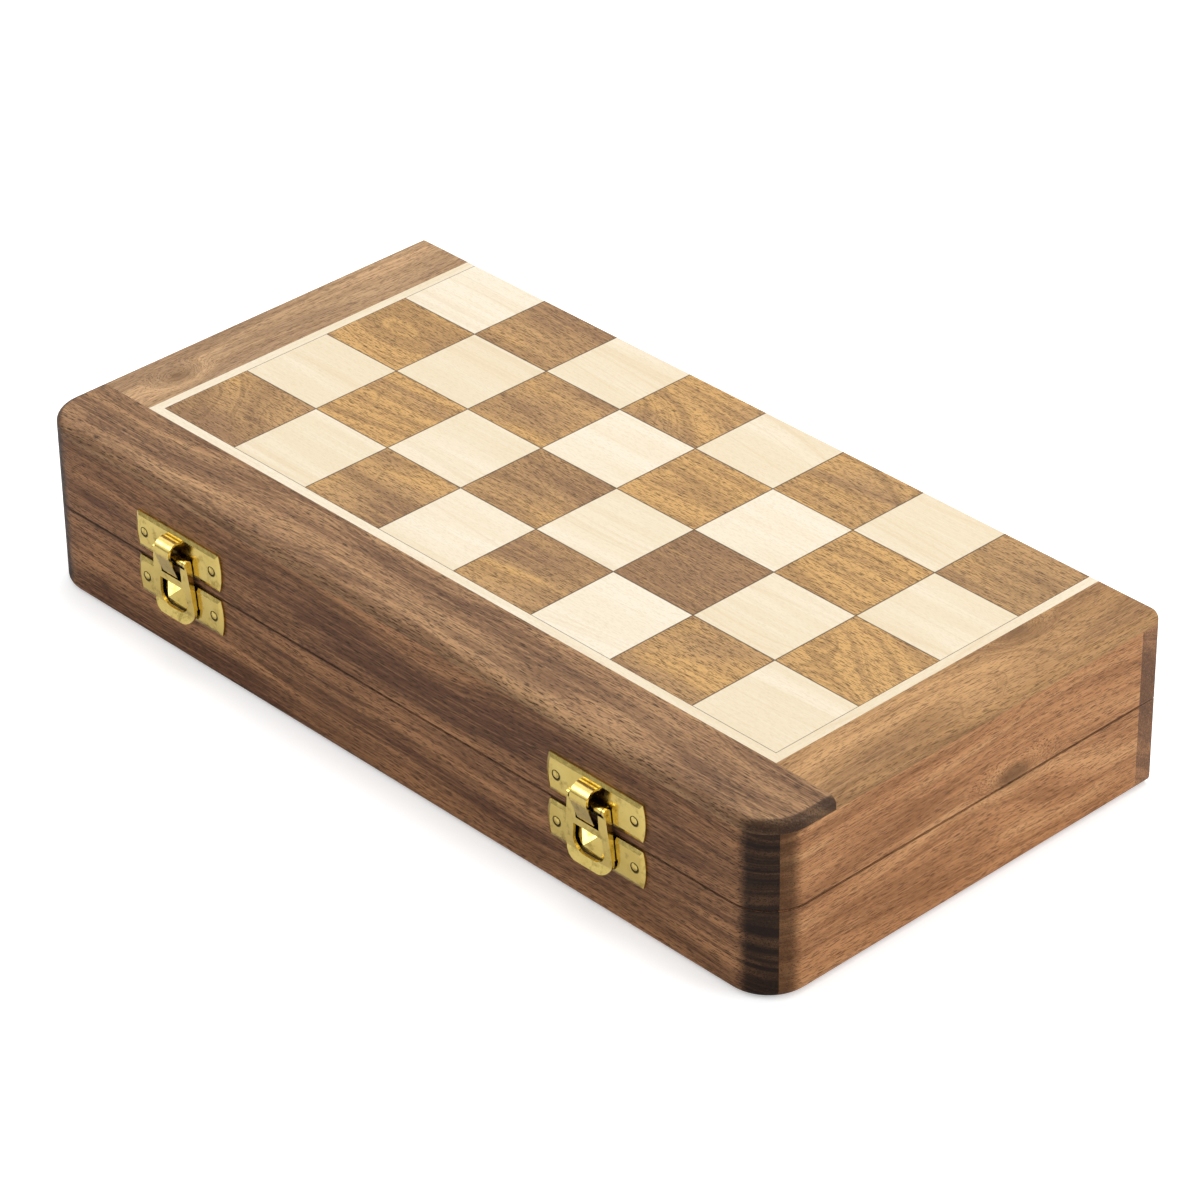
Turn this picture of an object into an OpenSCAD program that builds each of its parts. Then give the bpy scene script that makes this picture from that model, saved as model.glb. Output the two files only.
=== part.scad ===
// Folding chess box. Two shallow halves of butt-jointed rails are hinged at the back and
// held shut by two spring latches at the front. Half of the chessboard covers the lid, and
// the other half is let into the underside, so the box opens flat into a full board.
// The origin is the middle of the underside: +X runs along the box, +Y towards the hinges.

/* [Box] */
// Height of the shut box, both halves together
box_h = 57.15; // [50:0.05:70]
// Thickness of the rails that wall each half
rail_t = 6.2; // [5.5:0.1:8]
// Radius of the two upright corners at the front
corner_r = 14; // [9:0.5:18]
// Radius of the rounded-over outer edges
edge_r = 2.5; // [1:0.1:3]
// Gap between the rims of the two halves when the box is shut
seam_gap = 0.3; // [0.2:0.05:0.5]

/* [Board] */
// Thickness of the borders, stringing and squares
board_t = 4; // [3.4:0.1:5]
// Side of one chess square
square_w = 31.75; // [30:0.05:33]
// Width of the pale stringing round the squares
stringing_w = 3.3; // [2:0.1:4.5]
// Width of the front border
front_border_w = 24.6; // [22:0.1:30]
// Width of the two end borders
end_border_w = 22.1; // [20:0.1:30]
// How much the row of squares at the hinges is narrower than the others
row_trim = 2.5; // [0:0.1:4]
// Thickness of the panel that backs the board
panel_t = 3; // [2:0.1:4]
// Thickness of the felt lining
felt_t = 1; // [0.6:0.1:2]
// Gap between the felt lining and the rails
felt_gap = 0.2; // [0.1:0.05:0.6]

/* [Hinges] */
// Distance from an end of the box to the middle of its hinge
hinge_inset = 52; // [40:1:80]
// Length of each hinge
hinge_l = 25; // [20:0.5:32]
// Width of a leaf, let into the rim
leaf_w = 4.9; // [4.7:0.1:5.2]
// Thickness of a leaf
leaf_t = 0.9; // [0.7:0.05:1.1]
// Outer radius of the knuckles
knuckle_r = 1.5; // [1.3:0.05:1.6]
// Length of each of the two knuckles on the base leaf
base_knuckle_l = 6; // [4:0.5:7]
// Radius of the hinge pin
hinge_pin_r = 0.7; // [0.5:0.05:0.8]
// How far the pin's axis stands behind the back face
pin_set = 0.15; // [0.1:0.05:0.2]
// Distance of a hinge screw from the middle of its hinge
screw_offset = 8; // [5:0.5:8.5]
// Radius of a screw's countersunk head
screw_head_r = 1.4; // [1.2:0.05:1.45]
// Radius of a screw's shank
screw_r = 0.8; // [0.6:0.05:0.9]
// Length of a screw
screw_l = 6; // [4:0.5:9]

/* [Latches] */
// Distance from an end of the box to the middle of its latch plates
latch_inset = 64.8; // [45:0.1:90]
// Height of the middle of the gap between the plates, above the seam
latch_rise = 1.4; // [0.5:0.1:1.4]
// Gap between the upper and the lower plate
plate_gap = 3.2; // [2.6:0.1:4]
// Length of a plate over its bowed ends
plate_l = 38.3; // [34:0.1:42]
// Height of a plate
plate_h = 12; // [11:0.1:13]
// Thickness of a plate
plate_t = 1.2; // [0.9:0.05:1.4]
// How far the ends of a plate bow out
end_bow = 1; // [0.5:0.1:1.6]
// Width of the bevel round a plate's face
bevel_w = 1.2; // [0.6:0.1:1.6]
// Drop of that bevel at the plate's edge
bevel_drop = 0.5; // [0.2:0.05:0.7]
// Distance between the two nails of a plate
nail_pitch = 30.4; // [28:0.1:31]
// Radius of a nail's head
nail_head_r = 1.2; // [0.9:0.05:1.4]
// How far a nail's head stands proud of the plate
nail_dome = 0.3; // [0.2:0.05:0.5]
// Radius of a nail's shank
nail_r = 0.6; // [0.4:0.05:0.7]
// Length of a nail in the wood
nail_l = 4.5; // [3:0.1:5]
// Offset of the tongue, the hasp and the stud from the middle of the plates
catch_shift = -0.9; // [-2:0.1:0]

/* [Spring tongue] */
// Width of the tongue
tongue_w = 6.6; // [6:0.1:7.2]
// Offset of the tongue from the middle of the hasp
tongue_shift = -0.6; // [-0.8:0.1:0]
// Thickness of the tongue
tongue_t = 0.7; // [0.5:0.05:0.9]
// Outer radius of the curl at the top of the tongue
curl_r = 3.6; // [3.3:0.05:3.9]
// Distance of the curl's centre in front of the wood
curl_stand = 2.4; // [2.2:0.05:2.6]
// Height of the curl's centre above the middle of the plate
curl_rise = 0.5; // [0:0.1:1]
// Angle at which the tongue runs back towards the wood
tongue_lean = 21; // [15:1:24]
// Length of the straight part of the tongue
tongue_leg = 7.4; // [6:0.1:7.6]

/* [Hasp] */
// Width of the hasp over its ears
hasp_w = 14.8; // [14:0.1:16]
// Angle at which each side of the hasp and of its window spreads downwards
splay = 6.5; // [0:0.5:8]
// Thickness of the hasp's sheet
hasp_t = 0.9; // [0.7:0.05:1]
// Width of each arm of the hasp
arm_w = 2.9; // [2.2:0.05:3]
// Distance from the pivot down to the top of the arms' front faces
arm_drop = 1.7; // [1.6:0.05:2.2]
// Distance from the pivot down to the top of the cross bar
bar_drop = 6.9; // [6.9:0.1:7.2]
// Height of the cross bar
bar_h = 2.3; // [1.6:0.1:2.3]
// Height of the window under the cross bar
window_h = 9; // [8.6:0.1:9.6]
// Height of the band under the window
band_h = 2.6; // [1.8:0.1:3.2]
// Radius of the hasp's lower corners
hasp_corner_r = 5; // [4:0.1:6]
// Radius of the window's lower corners
window_corner_r = 4; // [2:0.1:4.4]
// Distance from the pivot's axis to the front face of the hasp
face_stand = 0.8; // [0.6:0.05:0.9]
// Angle at which the hasp leans back towards the wood
hasp_lean = 3; // [2:0.5:4]
// Height of the finger lip at the foot of the hasp
lip_h = 3; // [2:0.1:4]
// Angle at which the finger lip flares out
lip_flare = 24; // [10:1:30]
// Radius of the hasp's ears
ear_r = 1.25; // [1.1:0.05:1.3]
// Distance of the pivot's axis in front of the wood
pivot_stand = 2.75; // [2.7:0.05:2.9]
// Distance of the pivot below the middle of the upper plate
pivot_drop = 1.3; // [1:0.1:1.6]
// Radius of the hasp's pin
hasp_pin_r = 0.6; // [0.45:0.05:0.65]
// Outer radius of the barrel in which the pin turns
barrel_r = 1.15; // [1:0.05:1.2]

/* [Stud] */
// Side of the pyramid's foot
stud_w = 8.6; // [7:0.1:8.8]
// Height of the pyramid above the plate
stud_h = 3.4; // [2.6:0.1:4.2]
// Height of the stud above the middle of its plate
stud_rise = 0.8; // [0:0.1:1]
// Side of the small flat at the pyramid's tip
stud_tip = 0.5; // [0.3:0.1:1]
// Radius of the tenon that is riveted through the plate
tenon_r = 1.5; // [1:0.1:2]

/* [Fits] */
// Radial clearance of a pin in the knuckle or barrel that turns on it
turn_gap = 0.05; // [0.03:0.01:0.08]
// Clearance round screws, nails and tenons
drill_gap = 0.04; // [0.02:0.01:0.06]
// Clearance between moving pieces that pass each other
pass_gap = 0.3; // [0.2:0.05:0.35]
// Gap round a nail's head in the hole of its plate
nail_gap = 0.25; // [0.1:0.05:0.35]

/* [Hidden] */

$fn = 64;
// Overlap by which a cutting body runs past the face that it cuts
eps = 0.5;
SHEESHAM = "#7a5238";
SHEESHAM_LIGHT = "#a87c4d";
MAPLE = "#f0e4c8";
PLY = "#c9a877";
FELT = "#1f5a3a";
BRASS = "#d8b765";

// Places that both halves share, in the frame of a half: board face at 0, rim at half_h
half_h = (box_h - seam_gap) / 2;
columns = 8;
rows = 4;
box_l = columns * square_w + 2 * (stringing_w + end_border_w);
box_w = rows * square_w - row_trim + stringing_w + front_border_w;
front_y = -box_w / 2;
back_y = box_w / 2;
right_x = box_l / 2;
squares_y = front_y + front_border_w + stringing_w;
last_row_w = square_w - row_trim;
inner_l = box_l - 2 * rail_t;
inner_w = box_w - 2 * rail_t;

// Hinge axis
axis_y = back_y + pin_set;
axis_z = box_h / 2;
barrel_cut_r = knuckle_r + pass_gap;
screw_y = back_y - (leaf_w + barrel_cut_r - pin_set) / 2;

// Latch heights above the seam
upper_plate_z = latch_rise + (plate_gap + plate_h) / 2;
lower_plate_z = latch_rise - (plate_gap + plate_h) / 2;
pivot_z = upper_plate_z - pivot_drop;
bow_r = (pow(plate_h / 2, 2) + pow(end_bow, 2)) / (2 * end_bow);
hasp_l = bar_drop + bar_h + window_h + band_h;
// Flats in which the round corners of the hasp and of its window are cut
arc_steps = 10;

// Puts a half's piece in place: as it is for the base, upside down for the lid
module in_half(lid) {
    if (lid) {
        translate([0, 0, box_h]) mirror([0, 0, 1]) children();
    } else {
        children();
    }
}

// Section of a half's outer edge, from a corner's centre outwards, rounded at its foot
module edge_section(h, r) {
    translate([0, r]) square([corner_r, h - r]);
    if (r > 0) {
        square([corner_r - r, h]);
        translate([corner_r - r, r]) intersection() {
            circle(r);
            translate([0, -r]) square(r);
        }
    }
}

// Block with the box's outline: round front corners, and the section along front and ends
module outline_block(h, r) {
    run = box_w - corner_r;
    for (side = [0, 1]) mirror([side, 0, 0]) {
        translate([right_x - corner_r, front_y + corner_r, 0])
            rotate_extrude() edge_section(h, r);
        translate([right_x - corner_r, back_y, 0])
            rotate([90, 0, 0]) linear_extrude(run) edge_section(h, r);
    }
    translate([0, front_y + corner_r, 0]) rotate([90, 0, -90])
        linear_extrude(box_l - 2 * corner_r, center = true) edge_section(h, r);
    span([corner_r - right_x, front_y + corner_r, 0], [right_x - corner_r, back_y, h]);
}

// A box given by two opposite corners
module span(low, high) {
    translate(low) cube(high - low);
}

// A cylinder along X, centred on the origin
module bar_x(r, l) {
    rotate([0, 90, 0]) cylinder(r = r, h = l, center = true);
}

// The two ends of the box, as centres of its hinges
module at_hinge(side) {
    translate([side * (right_x - hinge_inset), 0, 0]) children();
}

// The middle of a latch's plates at the seam, on the front face
module at_latch(side) {
    translate([side * (right_x - latch_inset), front_y, axis_z]) children();
}

// The four rails. Those of the base run down past its board, the lid's carry their board.

module rail_stock(lid) {
    if (lid) {
        intersection() {
            outline_block(half_h, 0);
            span([-box_l, -box_w, board_t], [box_l, box_w, half_h]);
        }
    } else {
        outline_block(half_h, edge_r);
    }
}

module front_rail(lid) {
    color(SHEESHAM) difference() {
        in_half(lid) intersection() {
            rail_stock(lid);
            span([-box_l, front_y, 0], [box_l, front_y + rail_t, half_h]);
        }
        for (side = [-1, 1]) at_latch(side)
            nail_places(lid) bar_y(nail_r + drill_gap, nail_l + drill_gap);
    }
}

module back_rail(lid) {
    color(SHEESHAM) in_half(lid) difference() {
        intersection() {
            rail_stock(lid);
            span([-box_l, back_y - rail_t, 0], [box_l, back_y, half_h]);
        }
        if (!lid) {
            span([-inner_l / 2, back_y - rail_t - eps, -eps], [inner_l / 2, back_y + eps, board_t]);
        }
        for (side = [-1, 1]) at_hinge(side) {
            span([-hinge_l / 2, back_y - leaf_w, half_h - leaf_t],
                [hinge_l / 2, back_y + eps, half_h + eps]);
            translate([0, axis_y, axis_z]) bar_x(barrel_cut_r, hinge_l + 2 * pass_gap);
            screw_places() translate([0, 0, -screw_l - drill_gap])
                cylinder(r = screw_r + drill_gap, h = screw_l + eps);
        }
    }
}

// An end rail butts between the front and the back rail
module end_rail(lid, side) {
    color(SHEESHAM_LIGHT) in_half(lid) mirror([side < 0 ? 1 : 0, 0, 0]) intersection() {
        rail_stock(lid);
        span([right_x - rail_t, front_y + rail_t, 0], [right_x, back_y - rail_t, half_h]);
    }
}

// The board of each half: a panel, three borders, three strings and the squares

module panel(lid) {
    color(PLY) in_half(lid)
        span([-inner_l / 2, -inner_w / 2, board_t], [inner_l / 2, inner_w / 2, board_t + panel_t]);
}

module felt(lid) {
    l = inner_l - 2 * felt_gap;
    w = inner_w - 2 * felt_gap;
    floor_z = board_t + panel_t;
    color(FELT) in_half(lid) span([-l / 2, -w / 2, floor_z], [l / 2, w / 2, floor_z + felt_t]);
}

// The lid's borders reach its edges, and those of the base stop at its rails
module front_border(lid) {
    inset = lid ? 0 : rail_t;
    color(SHEESHAM) in_half(lid) intersection() {
        outline_block(board_t, edge_r);
        span([inset - right_x, front_y + inset, 0],
            [right_x - inset, front_y + front_border_w, board_t]);
    }
}

module end_border(lid, side) {
    inset = lid ? 0 : rail_t;
    color(SHEESHAM_LIGHT) in_half(lid) mirror([side < 0 ? 1 : 0, 0, 0]) intersection() {
        outline_block(board_t, edge_r);
        span([right_x - end_border_w, front_y + front_border_w, 0],
            [right_x - inset, back_y, board_t]);
    }
}

module front_stringing(lid) {
    half_l = right_x - end_border_w;
    color(MAPLE) in_half(lid)
        span([-half_l, squares_y - stringing_w, 0], [half_l, squares_y, board_t]);
}

module end_stringing(lid, side) {
    far_x = right_x - end_border_w;
    color(MAPLE) in_half(lid) mirror([side < 0 ? 1 : 0, 0, 0])
        span([far_x - stringing_w, squares_y, 0], [far_x, back_y, board_t]);
}

// Squares of one colour. The two halves run in opposite steps, so the colours alternate
// over the open board.
module squares(lid, dark) {
    first = (lid ? 0 : 1) + (dark ? 0 : 1);
    color(dark ? SHEESHAM : MAPLE) in_half(lid)
        for (column = [0 : columns - 1], row = [0 : rows - 1]) {
            if ((column + row + first) % 2 == 0) {
                depth = row < rows - 1 ? square_w : last_row_w;
                translate([(column - columns / 2) * square_w, squares_y + row * square_w, 0])
                    cube([square_w, depth, board_t]);
            }
        }
}

// Butt hinges: leaves let in flush with the rims, and knuckles that turn on a fixed pin

module screw_places() {
    for (side = [-1, 1]) translate([side * screw_offset, screw_y, half_h]) children();
}

// Runs of the knuckles along the hinge: the base's two outside, the lid's one between
module knuckle_runs(lid) {
    inner = hinge_l / 2 - base_knuckle_l;
    if (lid) {
        span_x(pass_gap - inner, inner - pass_gap) children();
    } else {
        span_x(-hinge_l / 2, -inner) children();
        span_x(inner, hinge_l / 2) children();
    }
}

// Cuts its children to a run along X
module span_x(from, to) {
    intersection() {
        children();
        span([from, -box_w, 0], [to, box_w, box_h]);
    }
}

module hinge_leaf(lid, side) {
    color(BRASS) in_half(lid) at_hinge(side) difference() {
        union() {
            difference() {
                span([-hinge_l / 2, back_y - leaf_w, half_h - leaf_t],
                    [hinge_l / 2, back_y, half_h]);
                translate([0, axis_y, axis_z]) bar_x(barrel_cut_r, hinge_l + 2 * eps);
            }
            knuckle_runs(lid) union() {
                translate([0, axis_y, axis_z]) bar_x(knuckle_r, hinge_l);
                span([-hinge_l / 2, axis_y - barrel_cut_r - eps, half_h - leaf_t],
                    [hinge_l / 2, axis_y, half_h]);
            }
        }
        translate([0, axis_y, axis_z])
            bar_x(lid ? hinge_pin_r + turn_gap : hinge_pin_r, hinge_l + 2 * eps);
        screw_places() translate([0, 0, -leaf_t])
            cylinder(r1 = screw_r + drill_gap, r2 = screw_head_r + drill_gap, h = leaf_t);
    }
}

module hinge_pin(side) {
    color(BRASS) at_hinge(side) translate([0, axis_y, axis_z]) bar_x(hinge_pin_r, hinge_l);
}

module countersunk_screw() {
    slot_w = screw_head_r / 4;
    slot_d = leaf_t / 3;
    difference() {
        union() {
            translate([0, 0, -screw_l]) cylinder(r = screw_r, h = screw_l);
            translate([0, 0, -leaf_t]) cylinder(r1 = screw_r, r2 = screw_head_r, h = leaf_t);
        }
        span([-screw_head_r, -slot_w / 2, -slot_d], [screw_head_r, slot_w / 2, eps]);
    }
}

module hinge_screws(lid) {
    color(BRASS) in_half(lid) for (side = [-1, 1]) at_hinge(side)
        screw_places() countersunk_screw();
}

// Latch pieces, drawn about the seam at the front face: -Y stands out from the wood

// A cylinder that runs into the wood from the front face
module bar_y(r, l) {
    rotate([-90, 0, 0]) cylinder(r = r, h = l);
}

module nail_places(lid) {
    for (side = [-1, 1])
        translate([side * nail_pitch / 2, 0, lid ? upper_plate_z : lower_plate_z]) children();
}

// Section of a plate from its middle to an edge at the distance d, bevelled at the edge
function plate_section(d) = [
    [0, 0], [d, 0], [d, plate_t - bevel_drop], [d - bevel_w, plate_t], [0, plate_t]
];

// Stamped plate with bevelled edges and bowed ends, lying on the wood
module plate() {
    difference() {
        for (end = [0, 1]) mirror([end, 0, 0]) intersection() {
            translate([plate_l / 2 - bow_r, 0, 0]) rotate([90, 0, 0])
                rotate_extrude($fn = 180) polygon(plate_section(bow_r));
            rotate([90, 0, 90]) linear_extrude(plate_l) for (edge = [0, 1])
                mirror([0, edge, 0]) rotate(90) polygon(plate_section(plate_h / 2));
        }
        for (side = [-1, 1]) translate([side * nail_pitch / 2, -plate_t - eps, 0])
            bar_y(nail_head_r + nail_gap, plate_t - bevel_drop + eps);
        for (side = [-1, 1]) translate([side * nail_pitch / 2, -plate_t, 0])
            bar_y(nail_r + drill_gap, plate_t + eps);
    }
}

// Side view of the tongue, x out from the wood: a curl, then a straight leg that runs back
module tongue_profile() {
    root = plate_t / 2;
    intersection() {
        translate([curl_stand, 0]) intersection() {
            difference() {
                circle(curl_r);
                circle(curl_r - tongue_t);
            }
            rotate(-tongue_lean) translate([-2 * curl_r, 0]) square([4 * curl_r, 2 * curl_r]);
        }
        translate([root, -curl_r]) square([2 * curl_r, 2 * curl_r]);
    }
    translate([curl_stand, 0]) rotate(-tongue_lean)
        translate([curl_r - tongue_t, -tongue_leg]) square([tongue_t, tongue_leg + eps / 2]);
}

// Extrudes a side view (x out from the wood, y up) across the latch
module across(w) {
    rotate([90, 0, -90]) linear_extrude(w, center = true) children();
}

module hasp_plate(side) {
    barrel_l = hasp_w - 2 * (hasp_t + pass_gap + barrel_r * tan(splay));
    color(BRASS) at_latch(side) difference() {
        union() {
            translate([0, 0, upper_plate_z]) plate();
            translate([catch_shift + tongue_shift, 0, upper_plate_z + curl_rise])
                across(tongue_w) tongue_profile();
            translate([catch_shift, -pivot_stand, pivot_z]) {
                bar_x(barrel_r, barrel_l);
                span([-barrel_l / 2, 0, -barrel_r / 2],
                    [barrel_l / 2, pivot_stand - plate_t / 2, barrel_r / 2]);
            }
        }
        translate([catch_shift, -pivot_stand, pivot_z]) bar_x(hasp_pin_r + turn_gap, hasp_w);
    }
}

// Right side of a front view that spreads downwards: the point at the height top, then the
// lower corner's arc down to the height foot. It lies at half from the middle at the pivot.
function spread_side(half, top, foot, r) =
    let (centre = [half - (r + (foot + r) * sin(splay)) / cos(splay), foot + r])
        concat([[half - top * tan(splay), top]], [
            for (step = [0 : arc_steps])
                let (angle = splay - (splay + 90) * step / arc_steps)
                    centre + r * [cos(angle), sin(angle)]
        ]);

// Shape between such a side and its mirror image
module spread(side) {
    polygon(concat(side, [for (i = [len(side) - 1 : -1 : 0]) [-side[i].x, side[i].y]]));
}

// Openings in the hasp's face: the slot between its arms and the window under the bar
module hasp_openings() {
    half = hasp_w / 2 - arm_w;
    top = -bar_drop - bar_h;
    translate([-half, -bar_drop]) square([2 * half, bar_drop]);
    spread(spread_side(half, top, top - window_h, window_corner_r));
}

// Side view of the hasp's face, x out from the pivot: straight, then flared to a finger lip
module face_profile() {
    back = face_stand - hasp_t;
    lip_z = lip_h - hasp_l;
    lip_out = lip_h * tan(lip_flare);
    polygon([
        [back, -arm_drop], [face_stand, -arm_drop], [face_stand, lip_z],
        [face_stand + lip_out, -hasp_l], [back + lip_out, -hasp_l], [back, lip_z]
    ]);
}

// Back edge of a flange at the height y, which keeps clear of the plate behind it
function flange_x(y) =
    (plate_t + pass_gap - pivot_stand - y * sin(hasp_lean)) / cos(hasp_lean);

// Side view of a flange: an ear round the pin, then a strip down behind the face
module flange_profile() {
    back = face_stand - hasp_t;
    circle(ear_r);
    polygon([
        [-ear_r, 0], [face_stand, 0], [face_stand, -arm_drop], [back, -arm_drop],
        [back, -hasp_l], [flange_x(-hasp_l), -hasp_l], [flange_x(-arm_drop), -arm_drop]
    ]);
}

// Front view of a flange: a strip down the slanted side, as far as the rounded corner
module flange_strip(side) {
    fold = [hasp_t / cos(splay), 0];
    polygon([side[0] - fold, side[0], side[1], side[1] - fold]);
}

// Solid whose side view is the first child and whose front view is the second
module crossed() {
    intersection() {
        across(2 * hasp_w) children(0);
        rotate([90, 0, 0]) linear_extrude(hasp_l, center = true) children(1);
    }
}

// Hasp: a sheet with two arms and a window, folded back into a flange along each side
module hasp(side) {
    outline = spread_side(hasp_w / 2, 2 * ear_r, -hasp_l, hasp_corner_r);
    color(BRASS) at_latch(side) translate([catch_shift, -pivot_stand, pivot_z])
        rotate([hasp_lean, 0, 0]) difference() {
            union() {
                crossed() {
                    face_profile();
                    difference() {
                        spread(outline);
                        hasp_openings();
                    }
                }
                for (end = [0, 1]) mirror([end, 0, 0]) crossed() {
                    flange_profile();
                    flange_strip(outline);
                }
            }
            bar_x(hasp_pin_r, hasp_w + eps);
        }
}

module hasp_pin(side) {
    color(BRASS) at_latch(side) translate([catch_shift, -pivot_stand, pivot_z])
        bar_x(hasp_pin_r, hasp_w);
}

module stud_plate(side) {
    color(BRASS) at_latch(side) translate([0, 0, lower_plate_z]) difference() {
        plate();
        translate([catch_shift, -plate_t - eps, stud_rise]) bar_y(tenon_r, plate_t + 2 * eps);
    }
}

// Four-sided pyramid that fills the hasp's window, on a tenon through the plate
module stud(side) {
    color(BRASS) at_latch(side) translate([catch_shift, -plate_t, lower_plate_z + stud_rise]) {
        rotate([90, 0, 0]) linear_extrude(stud_h, scale = stud_tip / stud_w)
            square(stud_w, center = true);
        bar_y(tenon_r, plate_t);
    }
}

// Domed head, seated in the plate's recess, on a shank in the rail
module latch_nail() {
    head_base = bevel_drop;
    head_top = plate_t + nail_dome - head_base;
    rotate([90, 0, 0]) translate([0, 0, head_base]) rotate_extrude() intersection() {
        square([nail_head_r, head_top]);
        translate([0, head_top - 2 * nail_head_r]) circle(2 * nail_head_r);
    }
    translate([0, -head_base, 0]) bar_y(nail_r, nail_l + head_base);
}

module latch_nails(lid) {
    color(BRASS) for (side = [-1, 1]) at_latch(side) nail_places(lid) latch_nail();
}

front_rail(false);  // base_front_rail
back_rail(false);  // base_back_rail
end_rail(false, -1);  // base_left_rail
end_rail(false, 1);  // base_right_rail
panel(false);  // base_panel
front_border(false);  // base_front_border
end_border(false, -1);  // base_left_border
end_border(false, 1);  // base_right_border
front_stringing(false);  // base_front_stringing
end_stringing(false, -1);  // base_left_stringing
end_stringing(false, 1);  // base_right_stringing
squares(false, true);  // base_dark_squares
squares(false, false);  // base_light_squares
felt(false);  // base_felt
front_rail(true);  // lid_front_rail
back_rail(true);  // lid_back_rail
end_rail(true, -1);  // lid_left_rail
end_rail(true, 1);  // lid_right_rail
panel(true);  // lid_panel
front_border(true);  // lid_front_border
end_border(true, -1);  // lid_left_border
end_border(true, 1);  // lid_right_border
front_stringing(true);  // lid_front_stringing
end_stringing(true, -1);  // lid_left_stringing
end_stringing(true, 1);  // lid_right_stringing
squares(true, true);  // lid_dark_squares
squares(true, false);  // lid_light_squares
felt(true);  // lid_felt
hinge_leaf(false, -1);  // hinge_left_base_leaf
hinge_leaf(true, -1);  // hinge_left_lid_leaf
hinge_pin(-1);  // hinge_left_pin
hinge_leaf(false, 1);  // hinge_right_base_leaf
hinge_leaf(true, 1);  // hinge_right_lid_leaf
hinge_pin(1);  // hinge_right_pin
hinge_screws(false);  // hinge_screws_base
hinge_screws(true);  // hinge_screws_lid
hasp_plate(-1);  // latch_left_hasp_plate
hasp(-1);  // latch_left_hasp
hasp_pin(-1);  // latch_left_hasp_pin
stud_plate(-1);  // latch_left_stud_plate
stud(-1);  // latch_left_stud
hasp_plate(1);  // latch_right_hasp_plate
hasp(1);  // latch_right_hasp
hasp_pin(1);  // latch_right_hasp_pin
stud_plate(1);  // latch_right_stud_plate
stud(1);  // latch_right_stud
latch_nails(false);  // latch_nails_base
latch_nails(true);  // latch_nails_lid
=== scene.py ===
"""Folding chess box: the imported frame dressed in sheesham, maple, brass and felt."""

from __future__ import annotations

import logging
import math
from dataclasses import dataclass, field, replace
from enum import Enum

import bmesh
import bpy
from mathutils import Matrix, Vector


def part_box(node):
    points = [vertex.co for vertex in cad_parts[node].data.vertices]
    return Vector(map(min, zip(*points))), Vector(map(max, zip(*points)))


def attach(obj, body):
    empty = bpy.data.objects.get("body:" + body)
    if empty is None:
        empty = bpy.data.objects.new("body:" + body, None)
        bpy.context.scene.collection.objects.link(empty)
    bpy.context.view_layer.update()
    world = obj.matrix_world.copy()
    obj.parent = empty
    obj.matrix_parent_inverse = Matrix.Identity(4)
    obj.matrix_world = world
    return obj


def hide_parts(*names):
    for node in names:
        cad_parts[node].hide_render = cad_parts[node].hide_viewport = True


LOG = logging.getLogger("chess_box")
MM = 0.001
PER_MM = 1.0 / MM
# How far apart in the log two planks lie whose seeds differ by one, in millimetres
LOG_STRIDE_MM = (613.0, 37.0, 71.0)

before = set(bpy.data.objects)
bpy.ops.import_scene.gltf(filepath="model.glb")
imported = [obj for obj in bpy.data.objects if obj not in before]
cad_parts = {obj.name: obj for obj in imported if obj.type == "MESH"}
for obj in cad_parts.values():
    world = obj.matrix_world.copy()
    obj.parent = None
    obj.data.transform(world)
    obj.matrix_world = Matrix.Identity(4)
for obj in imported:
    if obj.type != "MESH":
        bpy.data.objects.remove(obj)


class Grain(Enum):
    """Which way the grain of a piece runs, as the turn in degrees that lays it along X."""

    ALONG_BOX = 0.0
    ACROSS_BOX = -90.0


class Half(Enum):
    """The two halves of the box, by the name of their body."""

    BASE = "base"
    LID = "lid"


def linear(colour: str) -> tuple[float, float, float, float]:
    """Turns a colour written in sRGB to the linear values that a shader takes.

    Args:
        colour: Hex digits with a leading hash, such as "#8a6048".

    Returns:
        Linear red, green and blue, and an alpha of one.
    """
    shares = [int(colour[i : i + 2], 16) / 255 for i in (1, 3, 5)]
    red, green, blue = (
        s / 12.92 if s <= 0.04045 else ((s + 0.055) / 1.055) ** 2.4 for s in shares
    )
    return red, green, blue, 1.0


def add(
    tree: bpy.types.NodeTree,
    kind: str,
    inputs: dict[int | str, object] | None = None,
    out: int | str = 0,
    **settings: object,
) -> bpy.types.NodeSocket:
    """Adds a shader node with its settings, values and links.

    Args:
        tree: The node tree that takes the node.
        kind: The node's type without its "ShaderNode" prefix.
        inputs: Values, or the sockets to link, by the input's name or number.
        out: The output that is returned, by name or number.
        settings: The node's own properties.

    Returns:
        The chosen output, or the node's first input where it has no output.
    """
    node = tree.nodes.new("ShaderNode" + kind)
    for name, value in settings.items():
        setattr(node, name, value)
    for key, value in (inputs or {}).items():
        if isinstance(value, bpy.types.NodeSocket):
            tree.links.new(value, node.inputs[key])
        else:
            node.inputs[key].default_value = value
    return node.outputs[out] if node.outputs else node.inputs[0]


def new_material(name: str) -> bpy.types.Material:
    """Makes an empty node material.

    Args:
        name: The material's name.

    Returns:
        The material, with a tree that holds no nodes.
    """
    material = bpy.data.materials.new(name)
    material.use_nodes = True
    material.node_tree.nodes.clear()
    return material


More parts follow.
